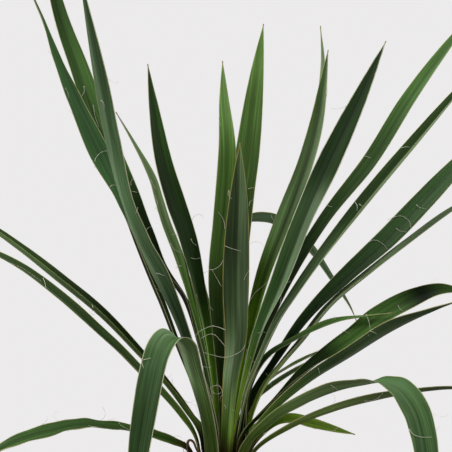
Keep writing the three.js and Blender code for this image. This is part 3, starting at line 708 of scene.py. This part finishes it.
threads(1, [(221, 286), (216, 277), (212, 270), (207, 265)],
    [(225, 229), (224, 222), (222, 217), (218, 212)], [(210, 307), (212, 309), (213, 311)])
threads(2, [(225, 246), (233, 249), (241, 251)], [(229, 190), (228, 194), (230, 197), (232, 199)],
    [(244, 280), (246, 275), (249, 270)], [(229, 191), (230, 196), (229, 200)],
    [(245, 345), (242, 350), (236, 354), (228, 357), (220, 357), (213, 355), (208, 354), (203, 352)],
    [(224, 405), (226, 407), (225, 409)], [(232, 410), (235, 410.5)],
    [(226, 330), (218, 327), (212, 326), (206, 328), (200, 331), (194, 337)],
    [(225, 346), (219, 339), (215, 335), (210, 334), (205, 336), (200, 339)],
    [(223, 396), (221, 388), (218, 385), (214, 386), (210, 388), (212, 391), (216, 394), (221, 393)])
threads(3, [(248, 189), (251, 188), (254, 188)], [(249, 206), (250, 202), (254, 199)])
threads(4, [(191, 258), (196, 259), (200, 258)], [(191, 239), (193, 243), (197, 246)])
threads(5, [(258, 333), (263, 332), (268, 333)], [(250, 357), (254, 362), (259, 367)],
    [(241, 403), (243, 398), (245, 395)], [(243, 401), (242, 397)])
threads(7, [(170, 243), (174, 249), (181, 253)], [(176, 268), (179, 266), (182, 266)],
    [(151, 180), (154, 186), (157, 190)], [(155, 196), (157, 201), (157, 206)])
threads(8, [(250, 301), (255, 293), (262, 287), (268, 281), (272, 276)],
    [(261, 306), (259, 313), (256.5, 321), (254, 328)], [(252.5, 331), (250, 338), (248, 344)],
    [(247, 349), (245.8, 356), (244, 363)], [(258, 317), (256, 319), (257, 322)])
threads(9, [(84, 86), (84, 92), (81, 97)], [(93, 105), (95, 116), (99, 128)],
    [(131, 186), (131, 181), (134, 178)], [(131, 191), (135, 192), (139, 192)],
    [(146, 231), (148, 228), (152, 226)])
threads(10, [(156, 273), (160, 274), (165, 276)], [(136, 213), (137, 210), (138, 207)],
    [(101, 100), (104, 104), (104, 110)])
threads(11, [(401, 148), (405, 147), (410, 147)], [(355, 202), (357, 205), (357, 211)],
    [(359, 204), (362, 206), (365, 208)])
threads(14, [(153, 287), (157, 289), (161, 292)], [(65, 88), (68, 93), (69, 98)],
    [(95, 168), (95, 160), (99, 154), (104, 151), (108, 151)], [(110, 187), (113, 185), (118, 186)])
threads(16, [(365, 156), (368, 157), (371, 158)], [(280, 304), (281, 297), (281, 291)],
    [(284, 286), (287, 283), (291, 281)])
threads(18, [(92, 305), (93, 308), (92, 312)])
threads(19, [(141, 358), (142, 363), (144, 369)], [(143, 360), (147, 359), (151, 358)],
    [(203, 372), (205, 380), (207, 388)], [(209, 395), (210, 399)])
threads(21, [(369, 242), (374, 240), (380, 242), (385, 246), (388, 250)],
    [(416, 205), (421, 208), (426, 209)],
    [(388, 220), (394, 217), (401, 216), (407, 219), (410, 223), (411, 227)],
    [(396, 228), (400, 231), (407, 232)])
threads(22, [(271, 215), (272, 218), (274, 221)])
threads(20, [(334, 316), (335, 319), (335, 323)])
threads(15, [(398, 305), (400, 309), (403, 311)], [(342, 331), (346, 332), (350, 334)])
threads(24, [(43, 278), (45, 283), (46, 289)], [(10, 263), (22, 268), (34, 276), (42, 282)])
threads(25, [(331, 385), (335, 388), (339, 391)], [(409, 429), (413, 434), (421, 437), (432, 437)])
threads(26, [(266, 373), (268, 376), (270, 374)])
threads(30, [(366, 314), (369, 322), (370, 330), (368, 336)], [(370, 331), (373, 332), (377, 334)],
    [(318, 368), (319, 371), (320, 374)])
threads(33, [(357, 396), (366, 401), (376, 399), (383, 393)], [(378, 399), (381, 395), (384, 391)])


def peeling(blade, rng):
    """A thread that peels off a margin somewhere along the leaf and curls away."""
    share, side = rng.uniform(0.16, 0.93), rng.choice((-1, 1))
    section = blade.section(share)
    start = section[0 if side < 0 else len(ACROSS) - 1][0]
    _, across, upper, _, _ = blade.station(share)
    along = blade.curve.tangent(blade.curve.by_length(share)) * rng.choice((-1, 1))
    outward = across * side
    heading = (along + outward * rng.uniform(0.2, 0.9) + upper * rng.uniform(-0.1, 0.6)).normalized()
    axis = (upper * rng.choice((-1, 1)) + along * rng.uniform(-0.4, 0.4)).normalized()
    points, place = [start - outward * 0.3], start
    rate = rng.uniform(0.05, 0.2)
    for _ in range(rng.randint(6, 15)):
        place = place + heading * 1.3
        points.append(place)
        heading = Quaternion(axis, rate) @ heading
        rate *= rng.uniform(0.9, 1.2)
    return points


def thread_material():
    s = Shader("thread")
    fine = s.noise(s.place(), 900, 2)
    s.bump(fine, 0.00005)
    return s.finish(s.blend(fine, "F8F5E6", "D2CBAE"), 0.6)


def threads_piece(blades):
    points, faces = [], []
    for number, rows in THREADS.items():
        mesh = bpy.data.objects[f"blade_{number:02}"].data
        corners, polygons = [v.co for v in mesh.vertices], [tuple(p.vertices) for p in mesh.polygons]
        surface = BVHTree.FromPolygons(corners, polygons)
        for pixels in rows:
            add_tube(points, faces, thread_on(surface, pixels), THREAD_RADIUS)
    rng = random.Random(23)
    for number, blade in blades.items():
        for _ in range(FEW_THREADS if number in THREADS else MANY_THREADS):
            path = peeling(blade, rng)
            add_tube(points, faces, path, rng.uniform(0.14, 0.24))
    made = mesh_object("threads", points, faces, thread_material())
    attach(made, "root")


# Pot, soil and crown

POT_SIDES, POT_WOBBLE, EDGE_CUT, EDGE_STEPS = 160, 0.35, 2.4, 4
SOIL_SIDES, SOIL_RINGS = 220, 56
SOIL_FOOT, SOIL_HOLE = POT_FLOOR + 5, STEM_RADIUS - 1
SOIL_DIP, DIP_WIDTH = 3.2, 22
CRUMBS_FROM = 33


def turned(outline, sides, wobble=0):
    """Points and faces of an outline of (radius, height) turned about the axis; radius 0 is one point."""
    points, faces, rings = [], [], []
    for radius, height in outline:
        if radius == 0:
            rings.append([len(points)])
            points.append(Vector((0, 0, height)))
            continue
        rings.append(list(range(len(points), len(points) + sides)))
        for turn in turns(sides):
            out = radius + wobble * noise.noise(around(turn, 1.5, height / 30))
            points.append(around(turn, out, height))
    for a, b in zip(rings, rings[1:]):
        for i in range(sides):
            k = (i + 1) % sides
            corners = [a[i % len(a)], a[k % len(a)], b[k % len(b)], b[i % len(b)]]
            faces.append(tuple(dict.fromkeys(corners)))
    return points, faces


def rounded(outline, radius, steps):
    """The outline with each inner corner cut round."""
    path = [outline[0]]
    for before, corner, after in zip(outline, outline[1:], outline[2:]):
        a, b, c = (Vector(p) for p in (before, corner, after))
        cut = min(radius, (a - b).length * 0.45, (c - b).length * 0.45)
        start, end = b + (a - b).normalized() * cut, b + (c - b).normalized() * cut
        for i in range(steps + 1):
            t = i / steps
            path.append(tuple(start * (1 - t) ** 2 + b * 2 * t * (1 - t) + end * t ** 2))
    return path + [outline[-1]]


def wall_radius(height):
    return mix(POT_FOOT_RADIUS, POT_TOP_RADIUS, height / POT_HEIGHT)


SOIL_EDGE = wall_radius(SOIL_LEVEL) - POT_WALL - TOUCH_GAP


def clay_material():
    s = Shader("clay")
    place = s.place()
    grain = s.noise(place, 900, 3)
    blotch = s.noise(place, 14, 4, 0.6)
    lines = s.noise(s.stretched(place, (1, 1, 60)), 8, 2)
    color = s.blend(s.spread(blotch), "A5603F", "BC7850")
    color = s.blend(s.ramp(lines, 0.35, 0.7, 0, 0.3), color, "8E4F34")
    chalk = s.ramp(s.noise(place, 32, 5, 0.65), 0.52, 0.68, 0, 0.3)
    color = s.blend(chalk, color, "D3B39C")
    speck = s.ramp(s.noise(place, 420, 2), 0.66, 0.74, 0, 0.5)
    color = s.blend(speck, color, "6B3A28")
    s.bump(s.plus(s.times(grain, 0.35), lines), 0.0006, 0.6)
    return s.finish(color, s.spread(blotch, 0.72, 0.9))


def pot_piece():
    rim_foot = POT_HEIGHT - RIM_DEPTH
    outline = rounded([
        (0, 0), (POT_FOOT_RADIUS - 0.5, 0), (wall_radius(60), 60), (wall_radius(110), 110),
        (wall_radius(rim_foot), rim_foot), (RIM_RADIUS - 2, rim_foot), (RIM_RADIUS, POT_HEIGHT),
        (wall_radius(POT_HEIGHT) - POT_WALL, POT_HEIGHT), (wall_radius(120) - POT_WALL, 120),
        (wall_radius(POT_FLOOR) - POT_WALL, POT_FLOOR), (0, POT_FLOOR),
    ], EDGE_CUT, EDGE_STEPS)
    points, faces = turned(outline, POT_SIDES, POT_WOBBLE)
    made = mesh_object("clay_pot", points, faces, clay_material())
    for turn in turns(DRAIN_COUNT):
        drill_points, drill_faces = turned([(0, -5), (DRAIN_RADIUS, -5), (DRAIN_RADIUS, 20), (0, 20)], 32)
        shift = around(turn, DRAIN_PLACE, 0)
        drill = mesh_object("drill", [p + shift for p in drill_points], drill_faces, made.data.materials[0])
        cut = made.modifiers.new("drain", "BOOLEAN")
        cut.object, cut.operation, cut.solver = drill, "DIFFERENCE", "EXACT"
        with bpy.context.temp_override(object=made, active_object=made):
            bpy.ops.object.modifier_apply(modifier=cut.name)
        bpy.data.objects.remove(drill)
    made.data.shade_smooth()
    made.data.set_sharp_from_angle(angle=math.radians(50))
    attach(made, "root")
    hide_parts("pot")


def soil_material():
    s = Shader("soil")
    place = s.place()
    crumb = s.noise(place, 260, 4, 0.65)
    patch = s.noise(place, 38, 3)
    color = s.blend(s.ramp(crumb, 0.35, 0.65), "1C120B", "4A3626")
    color = s.blend(s.ramp(patch, 0.4, 0.7, 0, 0.5), color, "33241A")
    fibre = s.noise(s.stretched(place, (1, 0.12, 1)), 420, 2)
    color = s.blend(s.ramp(fibre, 0.66, 0.72, 0, 0.7), color, "7A5B3C")
    s.bump(s.plus(crumb, s.times(patch, 0.5)), 0.0012)
    return s.finish(color, 0.92, 0.25)


def perlite_material():
    s = Shader("perlite")
    pores = s.noise(s.place(), 900, 3)
    color = s.blend(s.ramp(pores, 0.35, 0.6), "A89F90", "D9D4C8")
    s.bump(pores, 0.0003)
    return s.finish(color, 0.9)


def lump(points, faces, centre, size, rng):
    """Adds a rough lump of twenty faces to points and faces."""
    solid = bmesh.new()
    bmesh.ops.create_icosphere(solid, subdivisions=1, radius=1)
    turn = Quaternion((rng.uniform(-1, 1), rng.uniform(-1, 1), rng.uniform(-1, 1), 1)).normalized()
    stretch = Vector((rng.uniform(0.7, 1.3), rng.uniform(0.6, 1.1), rng.uniform(0.5, 0.9)))
    first = len(points)
    for corner in solid.verts:
        rough = size * rng.uniform(0.75, 1.15)
        points.append(centre + turn @ Vector(a * b for a, b in zip(corner.co, stretch)) * rough)
    faces += [tuple(first + corner.index for corner in face.verts) for face in solid.faces]
    solid.free()


def on_soil(turn, radius, above=0):
    """The point above the soil's surface, which dips to the wall and has the clods of a watered pot."""
    x, y = radius * math.cos(turn), radius * math.sin(turn)
    dip = -SOIL_DIP * smooth((radius - SOIL_EDGE + DIP_WIDTH) / DIP_WIDTH)
    clods = 1.3 * noise.noise(Vector((x / 9, y / 9, 3.1)))
    clods += 0.7 * noise.noise(Vector((x / 3.5, y / 3.5, 7.7)))
    return Vector((x, y, SOIL_LEVEL - 1.4 + dip + clods + above))


def soil_piece():
    foot_radius = wall_radius(SOIL_FOOT) - POT_WALL - 2 * TOUCH_GAP
    radii = [mix(SOIL_HOLE, SOIL_EDGE, i / SOIL_RINGS) for i in range(SOIL_RINGS + 1)]
    points = [on_soil(turn, radius) for radius in radii for turn in turns(SOIL_SIDES)]
    for radius in (foot_radius, SOIL_HOLE):
        points += [around(turn, radius, SOIL_FOOT) for turn in turns(SOIL_SIDES)]
    # The grid of rings runs from the stem's hole over the top, down the wall and back under to the hole
    faces = [face[::-1] for face in rings_to_faces(SOIL_RINGS + 3, SOIL_SIDES, caps=False)]
    last = (SOIL_RINGS + 2) * SOIL_SIDES
    for k in range(SOIL_SIDES):
        after = (k + 1) % SOIL_SIDES
        faces.append((last + after, after, k, last + k))
    made = mesh_object("soil_bed", points, faces, soil_material())
    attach(made, "root")
    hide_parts("soil")
    rng = random.Random(11)
    loose_piece("soil_crumbs", made.data.materials[0], 900, 0.7, 2.4, rng)
    loose_piece("soil_perlite", perlite_material(), 70, 0.8, 1.9, rng)


def loose_piece(name, material, count, least, most, rng):
    """Lumps of least to most mm in radius, strewn over the soil between the crown and the wall."""
    points, faces = [], []
    for _ in range(count):
        radius = math.sqrt(rng.uniform(CRUMBS_FROM ** 2, (SOIL_EDGE - 3) ** 2))
        turn = rng.uniform(0, math.tau)
        size = rng.uniform(least, most)
        lump(points, faces, on_soil(turn, radius, size * 0.25), size, rng)
    made = mesh_object(name, points, faces, material)
    made.data.shade_flat()
    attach(made, "root")


def dry_material():
    s = Shader("dry_leaf")
    across, along, own = s.parts(s.attribute("strip", "Vector"))
    grain = s.noise(s.joined(s.times(across, 3), s.times(along, 0.08), own), 1, 3, 0.6)
    patch = s.noise(s.place(), 90, 3)
    color = s.blend(s.spread(grain), "3A2415", "7C5636")
    color = s.blend(s.ramp(patch, 0.4, 0.7, 0, 0.45), color, "241610")
    s.bump(grain, 0.0004)
    return s.finish(color, 0.8, 0.3)


def strip(points, faces, marks, stops, width, seed):
    """A dry strip: a bent, curled band through stops, pointed at its end."""
    curve = Curve(stops, 30)
    count = max(8, int(curve.length / 2.5))
    across = (-1, -0.5, 0, 0.5, 1)
    faces += rings_to_faces(count + 1, 2 * len(across), len(points))
    for i in range(count + 1):
        share = i / count
        at = curve.by_length(share)
        here, along = curve.at(at), curve.tangent(at)
        out = Vector((here.x, here.y, 0)).normalized()
        side = along.cross(out).normalized()
        out = side.cross(along).normalized()
        half = width / 2 * (1 - share ** 2.5) + 0.25
        for thick, order in ((STRIP_HALF_THICK, across), (-STRIP_HALF_THICK, across[::-1])):
            for s in order:
                curl = -0.35 * half * s * s + 0.5 * noise.noise(Vector((seed, share * 4, s)))
                points.append(here + side * half * s + out * (curl + thick))
                marks.append((s * half, share * curve.length, seed))


def fibre(stops, radius, points, faces, marks):
    """A thin dry fibre through stops."""
    path = evenly(stops, FIBRE_SPACING, 8)
    add_tube(points, faces, path, radius)
    marks += [(k * 0.4, i * FIBRE_SPACING, stops[0].x) for i in range(len(path)) for k in range(TUBE_SIDES)]


# The dry curl at the crown's left, by the picture's points that it passes
DRY_CURL = [(188.6, 447), (187.6, 443), (190, 440), (193.5, 442), (196, 448), (200, 456), (205, 466)]
STRIPS, FIBRES = 34, 46
STRIP_HALF_THICK, FIBRE_SPACING = 0.25, 1.5
FIBRE_RADIUS, CURL_RADIUS, CURL_DEPTH = 0.45, 1.5, -27


def crown_piece():
    """Dead leaf bases and fibres round the crown, and the dry curl at its left."""
    rng = random.Random(5)
    points, faces, marks = [], [], []
    for i, turn in enumerate(turns(STRIPS)):
        ahead = around(turn + rng.uniform(-0.06, 0.06), 1, 0)
        top = SOIL_LEVEL + rng.uniform(5, 20)
        stops = [ahead * 28.6 + UP * (SOIL_LEVEL - 12), ahead * 29.2 + UP * SOIL_LEVEL,
                 ahead * rng.uniform(29.5, 32.5) + UP * top]
        strip(points, faces, marks, stops, rng.uniform(5, 10), i * 1.7)
    for i in range(FIBRES):
        place = around(rng.uniform(0, math.tau), 1, 0) * rng.uniform(25, 29) + UP * (SOIL_LEVEL + 2)
        heading = Vector((rng.uniform(-0.3, 0.3), rng.uniform(-0.3, 0.3), 1)).normalized()
        path = [place]
        for _ in range(rng.randint(7, 15)):
            place = place + heading * 3
            path.append(place)
            bend = Vector((rng.uniform(-0.3, 0.3), rng.uniform(-0.3, 0.3), rng.uniform(-0.2, 0.2)))
            heading = (heading + bend).normalized()
        fibre(path, FIBRE_RADIUS, points, faces, marks)
    curl = [along_ray(straight_from_eye(pixel), CURL_DEPTH) for pixel in DRY_CURL]
    fibre(curl, CURL_RADIUS, points, faces, marks)
    made = mesh_object("dry_collar", points, faces, dry_material())
    attribute(made, "strip", "FLOAT_VECTOR", marks)
    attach(made, "root")
    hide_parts("dry_bases")


def stem_material():
    s = Shader("stem")
    rings = s.noise(s.stretched(s.place(), (1, 1, 6)), 90, 3)
    color = s.blend(s.spread(rings), "3B2A1B", "6F563B")
    s.bump(rings, 0.001)
    return s.finish(color, 0.9)


# Camera, floor and light

SENSOR, FLOOR_GAP = 36, 0.4
LAMP_AIM = Vector((0, 0, 0.42))
WALL_COLOR, GLOW_COLOR = (0.842, 0.829, 0.835, 1), (0.96, 0.98, 1, 1)
FLOOR_GLOW, SKY_GLOW = 0.03, 0.56


def camera():
    data = bpy.data.cameras.new("camera")
    data.sensor_width = SENSOR
    data.lens = SENSOR * VIEW_DISTANCE / FRAME_PIXELS
    data.clip_start, data.clip_end = 0.05, 50
    made = new_object("camera", data)
    made.location = EYE * MM
    made.rotation_euler = (math.pi / 2, 0, 0)
    bpy.context.scene.camera = made


def floor():
    s = Shader("floor")
    cloud = s.noise(s.place(), 6, 3)
    material = s.finish(s.blend(cloud, "C6C5C4", "CECDCC"), 0.85, 0.2)
    points, faces = turned([(0, 0), (400, 0), (800, 0), (1250, 0)], 96)
    made = mesh_object("floor", [p - Vector((0, 0, FLOOR_GAP)) for p in points], faces, material)


def lamp(name, place, size, power):
    """A round lamp in metres and watts, aimed at the leaves."""
    data = bpy.data.lights.new(name, "AREA")
    data.shape, data.size, data.energy = "DISK", size, power
    made = new_object(name, data)
    made.location = place
    made.rotation_euler = (LAMP_AIM - Vector(place)).to_track_quat("-Z", "Y").to_euler()


def surroundings():
    """A pale wall all round that the camera sees, a softer glow in its place for the light, dim below and
    brighter above, and three lamps.
    """
    world = bpy.data.worlds.new("studio")
    bpy.context.scene.world = world
    world.use_nodes = True
    s = Nodes(world.node_tree)
    seen = s.tree.nodes["Background"]
    s.feed(seen.inputs[0], WALL_COLOR)
    s.feed(seen.inputs[1], 1)
    up = s.parts(s.node("TexCoord").outputs["Generated"])[2]
    strength = s.node("MapRange", {0: up, 1: -0.2, 2: 1, 3: FLOOR_GLOW, 4: SKY_GLOW}).outputs[0]
    glow = s.node("Background", {0: GLOW_COLOR, 1: strength}).outputs[0]
    to_camera = s.node("LightPath").outputs["Is Camera Ray"]
    either = s.node("MixShader", {0: to_camera, 1: glow, 2: seen.outputs[0]}).outputs[0]
    s.feed(s.tree.nodes["World Output"].inputs[0], either)
    lamp("key", (-1.3, -0.5, 1.7), 0.9, 20)
    lamp("fill", (1.6, -0.6, 1.3), 0.9, 11)
    lamp("top", (0.1, 0.1, 2.3), 1.2, 18)
    bpy.context.scene.view_settings.view_transform = "Standard"


# All of it

camera()
surroundings()
floor()
blades = {number: Blade(number) for number in LEAVES}
for number, blade in blades.items():
    leaf_piece(f"leaf_{number:02}", blade)
threads_piece(blades)
pot_piece()
soil_piece()
crown_piece()
stem_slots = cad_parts["stem"].data.materials
stem_slots.clear()
stem_slots.append(stem_material())
